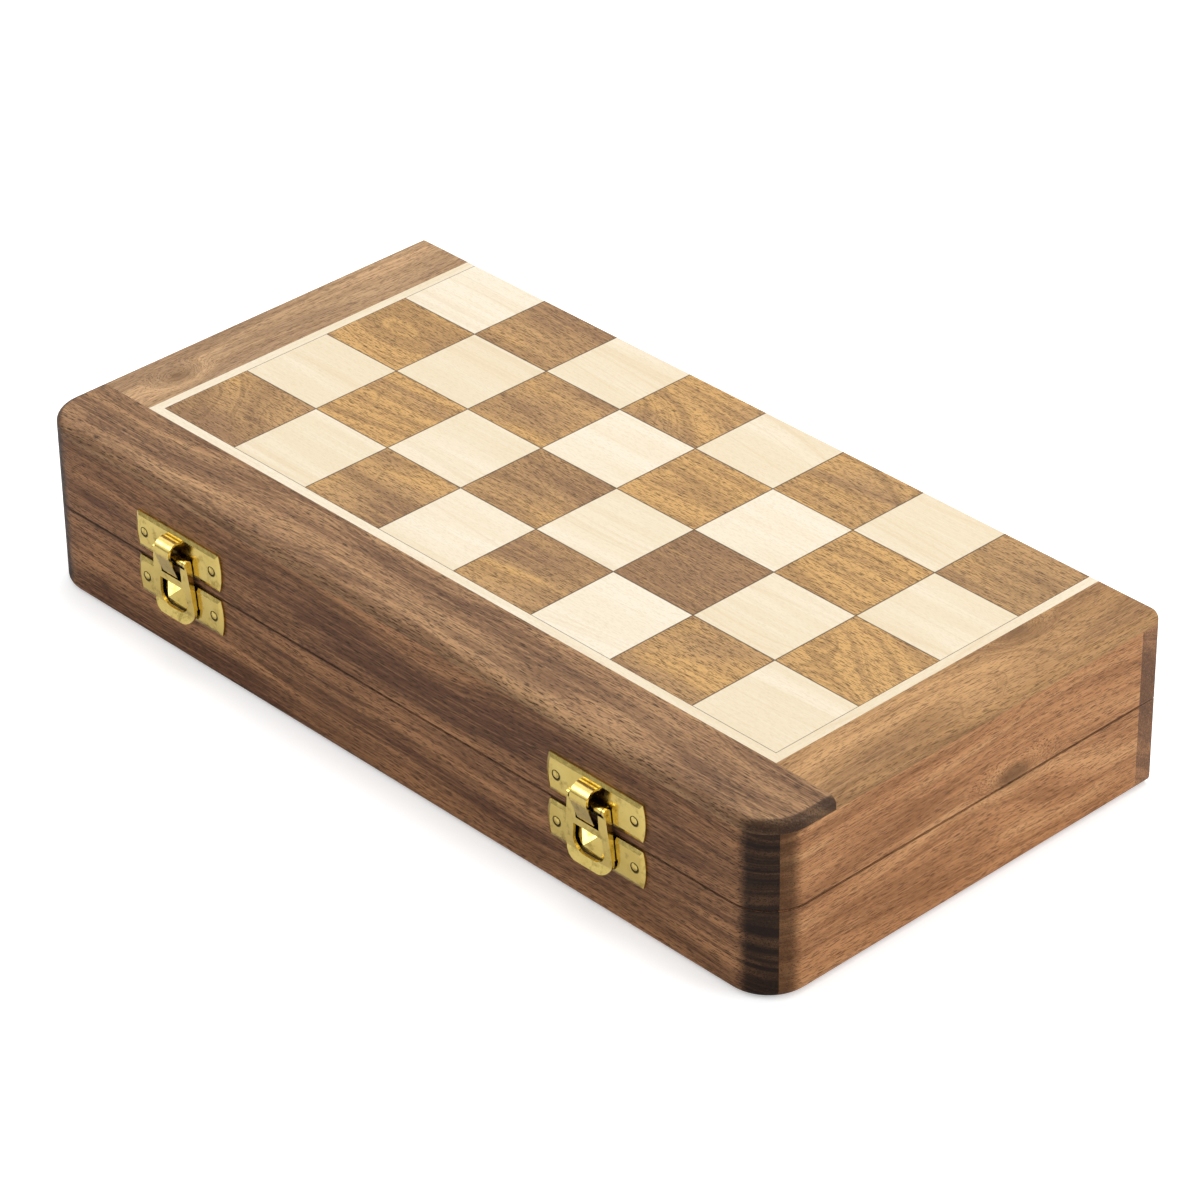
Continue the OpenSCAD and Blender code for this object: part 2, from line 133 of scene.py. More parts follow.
def veil(
    tree: bpy.types.NodeTree,
    ground: object,
    value: bpy.types.NodeSocket,
    step: tuple[float, float],
    share: float,
    colour: str,
) -> bpy.types.NodeSocket:
    """Lays a colour over a ground where a value passes a smooth step.

    Args:
        tree: The material's tree.
        ground: The colour beneath.
        value: What decides how much shows.
        step: The value at which the colour begins to show, and the one where it shows most.
        share: How much of the ground it hides at most.
        colour: The colour on top, as sRGB hex digits.

    Returns:
        The colour that is seen.
    """
    mask = add(
        tree, "MapRange", {"Value": value, 1: step[0], 2: step[1], 3: 0.0, 4: share},
        interpolation_type="SMOOTHSTEP",
    )
    return add(tree, "Mix", {0: mask, 6: ground, 7: linear(colour)}, out=2, data_type="RGBA")


@dataclass(frozen=True)
class Chequer:
    """The grid of squares, in millimetres, for timber that is laid square by square."""

    side: float = 31.75
    first_row_y: float = -48.3
    line: float = 0.2
    line_colour: str = "#3c2a1c"
    line_share: float = 0.85
    log_mm: tuple[float, float, float] = (900.0, 300.0, 300.0)
    tone_spread: float = 0.16

    @property
    def line_step(self) -> tuple[float, float]:
        """Where the glue line begins and is full, in sides from the middle of a square."""
        return 0.5 - 1.5 * self.line / self.side, 0.5 - 0.5 * self.line / self.side


@dataclass(frozen=True)
class Knot:
    """A knot, round which the grain bends, by its middle and its reach in millimetres."""

    middle: tuple[float, float, float]
    reach: tuple[float, float, float]
    push: float


@dataclass(frozen=True)
class Plank:
    """How one piece is sawn: from which part of the log, and which way its grain runs."""

    seed: float
    grain: Grain = Grain.ALONG_BOX
    chequer: Chequer | None = None
    knots: tuple[Knot, ...] = ()
    seam_z: float | None = None


@dataclass(frozen=True)
class Timber:
    """Solid timber, planed, sanded and rubbed with a thin satin finish.

    Three tones drift through each other along the grain, growth rings draw darker bands
    with thin lines between them, and open pores draw short dark dashes. Cut across, the
    same figure shows as dots on a much darker ground, because end grain drinks the finish.

    Sizes are in millimetres, and those of a pattern are its length and its width. A step
    holds the value at which a layer begins to show and the one where it shows most. Real
    vessels are 0.2 to 0.3 mm wide: they are drawn a little wider, so that they show.
    """

    name: str
    tones: tuple[str, str, str]
    band: str
    pore: str
    vein: str
    band_share: float = 0.5
    vein_share: float = 0.35
    fibre_share: float = 0.4
    pore_share: float = 0.75
    fine_pore_share: float = 0.7
    drift_mm: tuple[float, float] = (130.0, 11.0)
    bend_mm: tuple[float, float] = (120.0, 45.0)
    wander_mm: float = 34.0
    pore_wander: float = 0.22
    ring_mm: float = 3.4
    ring_slope: float = 0.012
    heart_mm: tuple[float, float] = (22.0, 46.0)
    fibre_mm: tuple[float, float] = (24.0, 0.55)
    pore_mm: tuple[float, float] = (4.6, 0.42)
    fine_pore_mm: tuple[float, float] = (2.4, 0.3)
    middle_tone_step: tuple[float, float] = (0.38, 0.5)
    dark_tone_step: tuple[float, float] = (0.5, 0.64)
    band_step: tuple[float, float] = (0.48, 0.66)
    vein_step: tuple[float, float] = (0.022, 0.0)
    dark_fibre_step: tuple[float, float] = (0.48, 0.7)
    pale_fibre_step: tuple[float, float] = (0.5, 0.3)
    dash_step: tuple[float, float] = (0.38, 0.2)
    heart_step: tuple[float, float] = (0.5, 0.12)
    heart_share: float = 0.75
    end_colour: str = "#190a03"
    end_share: float = 0.97
    end_step: tuple[float, float] = (0.06, 0.38)
    thirst_range: tuple[float, float] = (0.35, 0.6)
    least_thirst: float = 0.84
    # Painted shade along the outer seam between the halves: how dark it gets, and its step in
    # millimetres from the seam
    painted_shade_share: float = 0.85
    shade_step_mm: tuple[float, float] = (0.55, 0.25)
    upright_step: tuple[float, float] = (0.8, 0.5)
    ior: float = 1.45
    roughness: float = 0.48
    roughness_drift: tuple[float, float] = (-0.06, 0.08)
    fibre_range: tuple[float, float] = (0.3, 0.7)
    sheen_level: float = 0.22
    pore_depth: float = 0.05 * MM
    pore_relief: float = 0.6

    def _noise(
        self,
        tree: bpy.types.NodeTree,
        at: bpy.types.NodeSocket,
        size: tuple[float, float],
        detail: float,
        out: str = "Fac",
    ) -> bpy.types.NodeSocket:
        """Draws a noise that is stretched along the grain.

        Args:
            tree: The material's tree.
            at: The place in the log.
            size: The length and the width of its blotches.
            detail: How many finer noises it holds.
            out: The output that is used.

        Returns:
            The noise.
        """
        scale = (1 / size[0], 1 / size[1], 1 / size[1])
        place = add(tree, "VectorMath", {0: at, 1: scale}, operation="MULTIPLY")
        return add(tree, "TexNoise", {"Vector": place, "Scale": 1.0, "Detail": detail}, out=out)

    def _dashes(
        self, tree: bpy.types.NodeTree, at: bpy.types.NodeSocket, size: tuple[float, float]
    ) -> bpy.types.NodeSocket:
        """Draws scattered slender dashes, one to each cell.

        Args:
            tree: The material's tree.
            at: The place in the log.
            size: The length and the width of a cell.

        Returns:
            One in a dash and zero beside it.
        """
        scale = (1 / size[0], 1 / size[1], 1 / size[1])
        low, high = self.dash_step
        place = add(tree, "VectorMath", {0: at, 1: scale}, operation="MULTIPLY")
        apart = add(tree, "TexVoronoi", {"Vector": place, "Scale": 1.0}, out="Distance")
        return add(
            tree, "MapRange", {"Value": apart, 1: low, 2: high}, interpolation_type="SMOOTHSTEP"
        )

    def _sort_squares(
        self, tree: bpy.types.NodeTree, mm: bpy.types.NodeSocket, plank: Plank
    ) -> tuple[bpy.types.NodeSocket, bpy.types.NodeSocket, bpy.types.NodeSocket]:
        """Cuts each square from its own part of the log.

        Args:
            tree: The material's tree.
            mm: The place in millimetres.
            plank: The piece, which has a chequer.

        Returns:
            The jump to the square's own part of the log, the shift of its tone, and how far
            a place lies from the square's middle, in sides.
        """
        grid = plank.chequer
        side = 1 / grid.side
        # Twenty squares are added on both axes, so that every cell has a positive number
        start = (20.0, 20.0 - grid.first_row_y * side, plank.seed)
        cell = add(
            tree, "VectorMath", {0: mm, 1: (side, side, 0.0), 2: start}, operation="MULTIPLY_ADD"
        )
        number = add(tree, "VectorMath", {0: cell}, operation="FLOOR")
        dice = add(tree, "TexWhiteNoise", {"Vector": number}, out="Color", noise_dimensions="3D")
        jump = add(tree, "VectorMath", {0: dice, 1: grid.log_mm}, operation="MULTIPLY")
        first = add(tree, "SeparateXYZ", {0: dice}, out=0)
        shift = add(
            tree, "MapRange", {"Value": first, 3: -grid.tone_spread, 4: grid.tone_spread}
        )
        part = add(tree, "VectorMath", {0: cell}, operation="FRACTION")
        centred = add(tree, "VectorMath", {0: part, 1: (0.5, 0.5, 0.5)}, operation="SUBTRACT")
        apart = add(tree, "VectorMath", {0: centred}, operation="ABSOLUTE")
        far_x = add(tree, "SeparateXYZ", {0: apart}, out=0)
        far_y = add(tree, "SeparateXYZ", {0: apart}, out=1)
        return jump, shift, add(tree, "Math", {0: far_x, 1: far_y}, operation="MAXIMUM")

    def _bend_grain(
        self,
        tree: bpy.types.NodeTree,
        mm: bpy.types.NodeSocket,
        at: bpy.types.NodeSocket,
        knots: tuple[Knot, ...],
    ) -> tuple[bpy.types.NodeSocket, bpy.types.NodeSocket, object]:
        """Lets the grain wander, and leads it round the knots.

        Args:
            tree: The material's tree.
            mm: The place in millimetres.
            at: The place in the log, with straight grain.
            knots: The piece's knots.

        Returns:
            The bent place for the tones and rings, the gently bent place for fibres and
            pores, and the strength of the knots' dark hearts.
        """
        slow = self._noise(tree, at, self.bend_mm, 1.0, out="Color")
        bent = []
        for wander in (self.wander_mm, self.wander_mm * self.pore_wander):
            reach = (0.0, wander, wander)
            bent.append(
                add(tree, "VectorMath", {0: slow, 1: reach, 2: at}, operation="MULTIPLY_ADD")
            )
        heart: object = 0.0
        low, high = self.heart_step
        for knot in knots:
            away = add(tree, "VectorMath", {0: mm, 1: knot.middle}, operation="SUBTRACT")
            away = add(tree, "VectorMath", {0: away, 1: knot.reach}, operation="DIVIDE")
            far = add(tree, "VectorMath", {0: away}, out="Value", operation="LENGTH")
            near = add(
                tree, "MapRange", {"Value": far, 1: 1.0, 2: 0.0}, interpolation_type="SMOOTHSTEP"
            )
            push = add(
                tree, "VectorMath", {0: (0.0, knot.push, knot.push), "Scale": near},
                operation="SCALE",
            )
            bent = [
                add(tree, "VectorMath", {0: place, 1: push}, operation="ADD") for place in bent
            ]
            core = add(
                tree, "MapRange", {"Value": far, 1: low, 2: high, 4: self.heart_share},
                interpolation_type="SMOOTHSTEP",
            )
            heart = add(tree, "Math", {0: heart, 1: core}, operation="MAXIMUM")
        return bent[0], bent[1], heart

    def _growth_rings(
        self, tree: bpy.types.NodeTree, bend: bpy.types.NodeSocket
    ) -> bpy.types.NodeSocket:
        """Draws growth rings round the heart of the log, which lies off to one side.

        Args:
            tree: The material's tree.
            bend: The bent place in the log.

        Returns:
            A noise that changes from ring to ring.
        """
        slope = (self.ring_slope, 1.0, 1.0)
        away = (0.0, *self.heart_mm)
        place = add(
            tree, "VectorMath", {0: bend, 1: slope, 2: away}, operation="MULTIPLY_ADD"
        )
        radius = add(tree, "VectorMath", {0: place}, out="Value", operation="LENGTH")
        return add(
            tree, "TexNoise",
            {"W": radius, "Scale": 1 / self.ring_mm, "Detail": 2.0, "Roughness": 0.6},
            noise_dimensions="1D",
        )

    def _darken_ends(
        self,
        tree: bpy.types.NodeTree,
        ground: bpy.types.NodeSocket,
        normal: bpy.types.NodeSocket,
        turn: tuple[float, float, float],
        rings: bpy.types.NodeSocket,
    ) -> bpy.types.NodeSocket:
        """Darkens the end grain, where the surface turns across the fibres.

        Args:
            tree: The material's tree.
            ground: The colour so far.
            normal: Which way the surface faces.
            turn: The turn that lays the grain along X.
            rings: The growth rings, some of which drink more of the finish.

        Returns:
            The colour with its end grain.
        """
        facing = add(tree, "Mapping", {"Vector": normal, "Rotation": turn}, vector_type="NORMAL")
        along = add(tree, "SeparateXYZ", {0: facing}, out=0)
        across = add(tree, "Math", {0: along}, operation="ABSOLUTE")
        low, high = self.end_step
        ends = add(
            tree, "MapRange", {"Value": across, 1: low, 2: high, 4: self.end_share},
            interpolation_type="SMOOTHSTEP",
        )
        low, high = self.thirst_range
        thirst = add(
            tree, "MapRange", {"Value": rings, 1: low, 2: high, 3: self.least_thirst, 4: 1.0}
        )
        ends = add(tree, "Math", {0: ends, 1: thirst}, operation="MULTIPLY")
        return add(
            tree, "Mix", {0: ends, 6: ground, 7: linear(self.end_colour)}, out=2,
            data_type="RGBA",
        )

    def _paint_seam_shade(
        self,
        tree: bpy.types.NodeTree,
        ground: bpy.types.NodeSocket,
        normal: bpy.types.NodeSocket,
        mm: bpy.types.NodeSocket,
        seam_z: float,
    ) -> bpy.types.NodeSocket:
        """Paints shade along the outer edge where the two halves meet, as in the gap between
        them.

        Args:
            tree: The material's tree.
            ground: The colour so far.
            normal: Which way the surface faces.
            mm: The place in millimetres.
            seam_z: The height at which the halves meet.

        Returns:
            The colour with the painted shade along the seam.
        """
        rise = add(tree, "SeparateXYZ", {0: normal}, out=2)
        rise = add(tree, "Math", {0: rise}, operation="ABSOLUTE")
        low, high = self.upright_step
        upright = add(
            tree, "MapRange", {"Value": rise, 1: low, 2: high, 4: self.painted_shade_share},
            interpolation_type="SMOOTHSTEP",
        )
        height = add(tree, "SeparateXYZ", {0: mm}, out=2)
        off = add(tree, "Math", {0: height, 1: seam_z}, operation="SUBTRACT")
        off = add(tree, "Math", {0: off}, operation="ABSOLUTE")
        low, high = self.shade_step_mm
        # Painted shade: darkest right at the seam, on the upright faces only
        painted_shade = add(
            tree, "MapRange", {"Value": off, 1: low, 2: high}, interpolation_type="SMOOTHSTEP"
        )
        painted_shade = add(tree, "Math", {0: painted_shade, 1: upright}, operation="MULTIPLY")
        return add(
            tree, "Mix", {0: painted_shade, 6: ground, 7: linear(self.end_colour)}, out=2,
            data_type="RGBA",
        )

    def material(self, plank: Plank) -> bpy.types.Material:
        """Makes the material of one piece, or of the squares of one colour.

        Args:
            plank: How the piece is sawn.

        Returns:
            The material.
        """
        material = new_material(self.name)
        tree = material.node_tree
        place = add(tree, "TexCoord", out="Object")
        normal = add(tree, "TexCoord", out="Normal")
        mm = add(tree, "VectorMath", {0: place, 1: (PER_MM,) * 3}, operation="MULTIPLY")
        turn = (0.0, 0.0, math.radians(plank.grain.value))
        log = tuple(plank.seed * stride for stride in LOG_STRIDE_MM)
        at = add(tree, "Mapping", {"Vector": mm, "Rotation": turn, "Location": log})
        shift: object = 0.0
        far = None
        if plank.chequer:
            jump, shift, far = self._sort_squares(tree, mm, plank)
            at = add(tree, "VectorMath", {0: at, 1: jump}, operation="ADD")
        bend, follow, heart = self._bend_grain(tree, mm, at, plank.knots)

        drift = self._noise(tree, bend, self.drift_mm, 3.0)
        tone = add(tree, "Math", {0: drift, 1: shift}, operation="ADD")
        rings = self._growth_rings(tree, bend)
        level = add(tree, "Math", {0: rings, 1: 0.5}, operation="SUBTRACT")
        level = add(tree, "Math", {0: level}, operation="ABSOLUTE")
        fibres = self._noise(tree, follow, self.fibre_mm, 3.0)
        first, second, third = self.tones
        layers = (
            (tone, self.middle_tone_step, 1.0, second),
            (tone, self.dark_tone_step, 1.0, third),
            (rings, self.band_step, self.band_share, self.band),
            (level, self.vein_step, self.vein_share, self.vein),
            (fibres, self.dark_fibre_step, self.fibre_share, self.band),
            (fibres, self.pale_fibre_step, self.fibre_share, first),
        )
        colour: object = linear(first)
        for value, step, share, paint in layers:
            colour = veil(tree, colour, value, step, share, paint)

        coarse = self._dashes(tree, follow, self.pore_mm)
        fine = self._dashes(tree, follow, self.fine_pore_mm)
        faint = add(tree, "Math", {0: fine, 1: self.fine_pore_share}, operation="MULTIPLY")
        pores = add(tree, "Math", {0: coarse, 1: faint}, operation="MAXIMUM")
        dark = add(tree, "Math", {0: pores, 1: self.pore_share}, operation="MULTIPLY")
        for mask, paint in ((dark, self.pore), (heart, self.vein)):
            colour = add(
                tree, "Mix", {0: mask, 6: colour, 7: linear(paint)}, out=2, data_type="RGBA"
            )

        colour = self._darken_ends(tree, colour, normal, turn, rings)
        if far is not None:
            grid = plank.chequer
            colour = veil(
                tree, colour, far, grid.line_step, grid.line_share, grid.line_colour
            )
        # Painted shade in the gap between the two halves
        if plank.seam_z is not None:
            colour = self._paint_seam_shade(tree, colour, normal, mm, plank.seam_z)

        low, high = self.fibre_range
        less, more = self.roughness_drift
        rough = add(
            tree, "MapRange",
            {"Value": fibres, 1: low, 2: high, 3: self.roughness + less,
             4: self.roughness + more},
        )
        bump = add(
            tree, "Bump",
            {"Height": pores, "Distance": self.pore_depth, "Strength": self.pore_relief},
            invert=True,
        )
        shader = add(
            tree, "BsdfPrincipled",
            {
                "Base Color": colour, "Roughness": rough, "IOR": self.ior, "Normal": bump,
                "Specular IOR Level": self.sheen_level,
            },
        )
        add(tree, "OutputMaterial", {"Surface": shader})
        return material


@dataclass(frozen=True)
class StampedBrass:
    """Stamped sheet brass, tumbled bright: clear lemon reflections, clouded here and there
    by a thin olive tarnish that also spreads the highlights a little, and darkened nearly to
    black by painted shade in the hollows and in a crescent beside each nail head."""

    name: str = "stamped_brass"
    bright: str = "#f4dc88"
    deep: str = "#e0c268"
    tarnish: str = "#a8904a"
    # The colour of the painted shade, in the hollows and beside the nail heads
    painted_shade: str = "#241708"
    roughness: float = 0.15
    cloud_mm: float = 5.0
    stain_mm: float = 3.2
    # Painted shade beside each nail: the ring's radii, and how far its middle is shifted in x and
    # z
    shade_ring_mm: tuple[float, float] = (0.9, 1.75)
    shade_shift_mm: tuple[float, float] = (0.2, -0.18)
    painted_shade_share: float = 0.9
    hollow_mm: float = 5.0
    hollow_step: tuple[float, float] = (0.62, 0.2)
    stain_step: tuple[float, float] = (0.5, 0.72)
    stain_share: float = 0.75
    stain_roughness: float = 0.2
    ripple_per_mm: float = 0.45
    ripple_depth: float = 0.08 * MM
    ripple_relief: float = 0.5

    def material(self, nails: tuple[tuple[float, float], ...] = ()) -> bpy.types.Material:
        """Makes the material.

        Args:
            nails: Where the nails are, as x and z in millimetres: a crescent of painted shade
            is drawn on the lower right of each head.

        Returns:
            The material.
        """
        material = new_material(self.name)
        tree = material.node_tree
        place = add(tree, "TexCoord", out="Object")
        mm = add(tree, "VectorMath", {0: place, 1: (PER_MM,) * 3}, operation="MULTIPLY")
        cloud = add(tree, "TexNoise", {"Vector": mm, "Scale": 1 / self.cloud_mm, "Detail": 3.0})
        stain = add(
            tree, "TexNoise",
            {"Vector": mm, "Scale": 1 / self.stain_mm, "Detail": 5.0, "Roughness": 0.6},
        )
        low, high = self.stain_step
        stained = add(
            tree, "MapRange", {"Value": stain, 1: low, 2: high, 4: self.stain_share},
            interpolation_type="SMOOTHSTEP",
        )
        # Painted shade: the colour turns nearly black where ambient occlusion finds the brass
        # hemmed in, as inside the curl and beside the hasp
        open_air = add(
            tree, "AmbientOcclusion", {"Distance": self.hollow_mm * MM}, out="AO", samples=8
        )
        low, high = self.hollow_step
        painted_shade_mask = add(
            tree, "MapRange", {"Value": open_air, 1: low, 2: high, 4: self.painted_shade_share},
            interpolation_type="SMOOTHSTEP",
        )
        inner, outer = self.shade_ring_mm
        middle, reach = (inner + outer) / 2, (outer - inner) / 2
        shift_x, shift_z = self.shade_shift_mm
        # Painted shade: a ring round each nail, shifted so that only a crescent shows beside the
        # head
        for x, z in nails:
            spot = (x + shift_x, 0.0, z + shift_z)
            off = add(tree, "VectorMath", {0: mm, 1: spot}, operation="SUBTRACT")
            off = add(tree, "VectorMath", {0: off, 1: (1.0, 0.0, 1.0)}, operation="MULTIPLY")
            far = add(tree, "VectorMath", {0: off}, out="Value", operation="LENGTH")
            far = add(tree, "Math", {0: far, 1: middle}, operation="SUBTRACT")
            far = add(tree, "Math", {0: far}, operation="ABSOLUTE")
            ring = add(
                tree, "MapRange",
                {"Value": far, 1: reach, 2: 0.5 * reach, 4: self.painted_shade_share},
                interpolation_type="SMOOTHSTEP",
            )
            painted_shade_mask = add(tree, "Math", {0: painted_shade_mask, 1: ring}, operation="MAXIMUM")
        colour: object = linear(self.bright)
        for mask, paint in ((cloud, self.deep), (stained, self.tarnish), (painted_shade_mask, self.painted_shade)):
            colour = add(
                tree, "Mix", {0: mask, 6: colour, 7: linear(paint)}, out=2, data_type="RGBA"
            )
        duller = self.roughness + self.stain_roughness
        rough = add(tree, "MapRange", {"Value": stained, 3: self.roughness, 4: duller})
        # The stamped sheet isn't quite flat
        ripple = add(tree, "TexNoise", {"Vector": mm, "Scale": self.ripple_per_mm, "Detail": 1.0})
        bump = add(
            tree, "Bump",
            {
                "Height": ripple, "Distance": self.ripple_depth,
                "Strength": self.ripple_relief,
            },
        )
        shader = add(
            tree, "BsdfPrincipled",
            {"Base Color": colour, "Metallic": 1.0, "Roughness": rough, "Normal": bump},
        )
        add(tree, "OutputMaterial", {"Surface": shader})
        return material


@dataclass(frozen=True)
class WoolFelt:
    """Pressed wool felt: matt, with a short fuzz that lightens at a glance along it."""

    name: str = "wool_felt"
    colour: str = "#1f5a3a"
    fuzz: str = "#33754f"
    tuft_mm: float = 0.7
    tuft_depth: float = 0.4 * MM
    tuft_relief: float = 0.7
    roughness: float = 0.95
    fuzz_sheen: float = 0.15

    def material(self) -> bpy.types.Material:
        """Makes the material.

        Returns:
            The material.
        """
        material = new_material(self.name)
        tree = material.node_tree
        place = add(tree, "TexCoord", out="Object")
        tufts = add(
            tree, "TexNoise", {"Vector": place, "Scale": PER_MM / self.tuft_mm, "Detail": 4.0}
        )
        colour = add(
            tree, "Mix", {0: tufts, 6: linear(self.colour), 7: linear(self.fuzz)}, out=2,
            data_type="RGBA",
        )
        bump = add(
            tree, "Bump",
            {"Height": tufts, "Distance": self.tuft_depth, "Strength": self.tuft_relief},
        )
        shader = add(
            tree, "BsdfPrincipled",
            {
                "Base Color": colour, "Roughness": self.roughness, "Normal": bump,
                "Sheen Weight": self.fuzz_sheen, "Sheen Roughness": 0.5,
            },
        )
        add(tree, "OutputMaterial", {"Surface": shader})
        return material


# Sheesham heartwood: brown with near-black pores, its end grain nearly black with finish
SHEESHAM = Timber(
    name="sheesham",
    tones=("#bd885d", "#9b6e4b", "#744e36"),
    band="#5a3b28",
    pore="#33200f",
    vein="#3d281a",
    band_share=0.6,
    vein_share=0.45,
    fibre_share=0.5,
    pore_share=0.95,
)
# The same, from a paler plank: the flat border in front of the squares
SHEESHAM_BORDER = replace(
    SHEESHAM, name="sheesham_border", tones=("#c2976b", "#a57d58", "#836043"),
    band="#694932", end_colour="#2a180d", end_share=0.8,
)
# The same, but its end grain was sanded finer and drank less finish
SHEESHAM_PALE_END = replace(
    SHEESHAM, name="sheesham_pale_end", end_colour="#80604a", end_share=0.35
)
# Sheesham cut nearer the sapwood: honey brown with finer contrast
SHEESHAM_LIGHT = Timber(
    name="sheesham_light",
    tones=("#cfa06c", "#bd9160", "#a27950"),
    band="#8f683f",
    pore="#5c3f26",
    vein="#6b4a2c",
    end_colour="#4e2f1c",
    end_share=0.8,
)
# The same, a little bleached
SHEESHAM_GREY = replace(
    SHEESHAM_LIGHT, name="sheesham_grey", tones=("#d4ab80", "#c29e76", "#a88765"),
    band="#947250",
)
# The same, ruddier, for the two ends of the box
SHEESHAM_RED = replace(
    SHEESHAM_LIGHT, name="sheesham_red", tones=("#d7a16e", "#c38b5c", "#a47148"),
    band="#8f603b", pore="#55331d", end_colour="#43270f", end_share=0.82,
)
# Golden sheesham, sawn into squares: each shows its own tone and a lively figure
SHEESHAM_SQUARES = Timber(
    name="sheesham_squares",
    tones=("#d8aa6c", "#bd9566", "#9c7856"),
    band="#8c6a48",
    pore="#45301a",
    vein="#6f5234",
    pore_share=0.85,
    pore_mm=(3.8, 0.4),
    fine_pore_mm=(2.0, 0.3),
    drift_mm=(90.0, 26.0),
    wander_mm=55.0,
    pore_wander=0.14,
)
# Maple: cream, close and even, with faint straight streaks
MAPLE = Timber(
    name="maple",
    tones=("#f7ebd5", "#f4e5cb", "#efdec0"),
    band="#ead9b8",
    pore="#dfcaa4",
    vein="#dcc298",
    band_share=0.22,
    vein_share=0.25,
    fibre_share=0.35,
    pore_share=0.35,
    ring_mm=9.0,
    fibre_mm=(40.0, 0.7),
    pore_mm=(2.6, 0.5),
    fine_pore_mm=(1.6, 0.4),
    wander_mm=14.0,
    pore_wander=0.5,
    end_colour="#b89a6c",
    end_share=0.6,
)
# Birch plywood: plain straw-coloured face veneer under the felt
BIRCH_PLY = Timber(
    name="birch_plywood",
    tones=("#d6b986", "#cfae78", "#c6a46e"),
    band="#b58f5c",
    pore="#9c7847",
    vein="#a98452",
    pore_share=0.3,
    vein_share=0.2,
    end_colour="#8c6a42",
)
SEAM_KNOT = Knot(middle=(152.4, 18.0, 31.0), reach=(14.0, 22.0, 9.0), push=6.0)
RIGHT_BORDER_KNOT = Knot(middle=(131.5, 41.0, 56.0), reach=(8.0, 17.0, 12.0), push=7.0)
LEFT_BORDER_KNOT = Knot(middle=(-139.0, -33.0, 55.0), reach=(9.0, 15.0, 12.0), push=7.0)


def dress(node: str, material: bpy.types.Material) -> None:
    """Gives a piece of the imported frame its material.

    Args:
        node: The piece's name.
        material: What it is made of.
    """
    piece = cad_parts[node]
    for slot in piece.material_slots:
        slot.material = material
    LOG.info("%s: %s", node, material.name)


@dataclass
class FeltLining:
    """A sheet of felt glued to a half's panel, cut just clear of the rails."""

    half: Half
    pitch: float = 4.0 * MM
    swell: float = 0.06 * MM
    waves: tuple[float, float, float] = (1.7, 0.9, 2.3)

    def build(self, material: bpy.types.Material) -> bpy.types.Object:
        """Makes the sheet in the place of the half's plain felt solid.

        Args:
            material: The felt.

        Returns:
            The sheet.
        """
        node = f"{self.half.value}_felt"
        low, high = (Vector(corner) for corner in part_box(node))
        size = high - low
        columns = round(size.x / self.pitch)
        rows = round(size.y / self.pitch)
        up = 1 if self.half is Half.BASE else -1
        back, face = (low.z, high.z) if up > 0 else (high.z, low.z)
        wave_x, wave_skew, wave_y = self.waves
        mesh = bmesh.new()
        sides: list[list[list[bmesh.types.BMVert]]] = []
        for level, rise in ((back, 0.0), (face, self.swell)):
            sides.append([
                [
                    mesh.verts.new((
                        low.x + size.x * i / columns,
                        low.y + size.y * j / rows,
                        level - up * rise
                        * (1 + math.sin(wave_x * i + wave_skew * j) * math.sin(wave_y * j)),
                    ))
                    for j in range(rows + 1)
                ]
                for i in range(columns + 1)
            ])
        for side, grid in enumerate(sides):
            for i in range(columns):
                for j in range(rows):
                    ring = [grid[i][j], grid[i + 1][j], grid[i + 1][j + 1], grid[i][j + 1]]
                    mesh.faces.new(ring if side else ring[::-1])
        rim = [(i, 0) for i in range(columns)] + [(columns, j) for j in range(rows)]
        rim += [(i, rows) for i in range(columns, 0, -1)] + [(0, j) for j in range(rows, 0, -1)]
        for here, there in zip(rim, rim[1:] + rim[:1]):
            mesh.faces.new([
                sides[0][here[0]][here[1]], sides[0][there[0]][there[1]],
                sides[1][there[0]][there[1]], sides[1][here[0]][here[1]],
            ])
        bmesh.ops.recalc_face_normals(mesh, faces=mesh.faces)
        data = bpy.data.meshes.new(f"{node}_sheet")
        mesh.to_mesh(data)
        mesh.free()
        sheet = bpy.data.objects.new(f"{node}_sheet", data)
        bpy.context.scene.collection.objects.link(sheet)
        data.materials.append(material)
        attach(sheet, self.half.value)
        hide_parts(node)
        LOG.info("%s: felt sheet %.0f x %.0f mm", sheet.name, size.y / MM, size.x / MM)
        return sheet


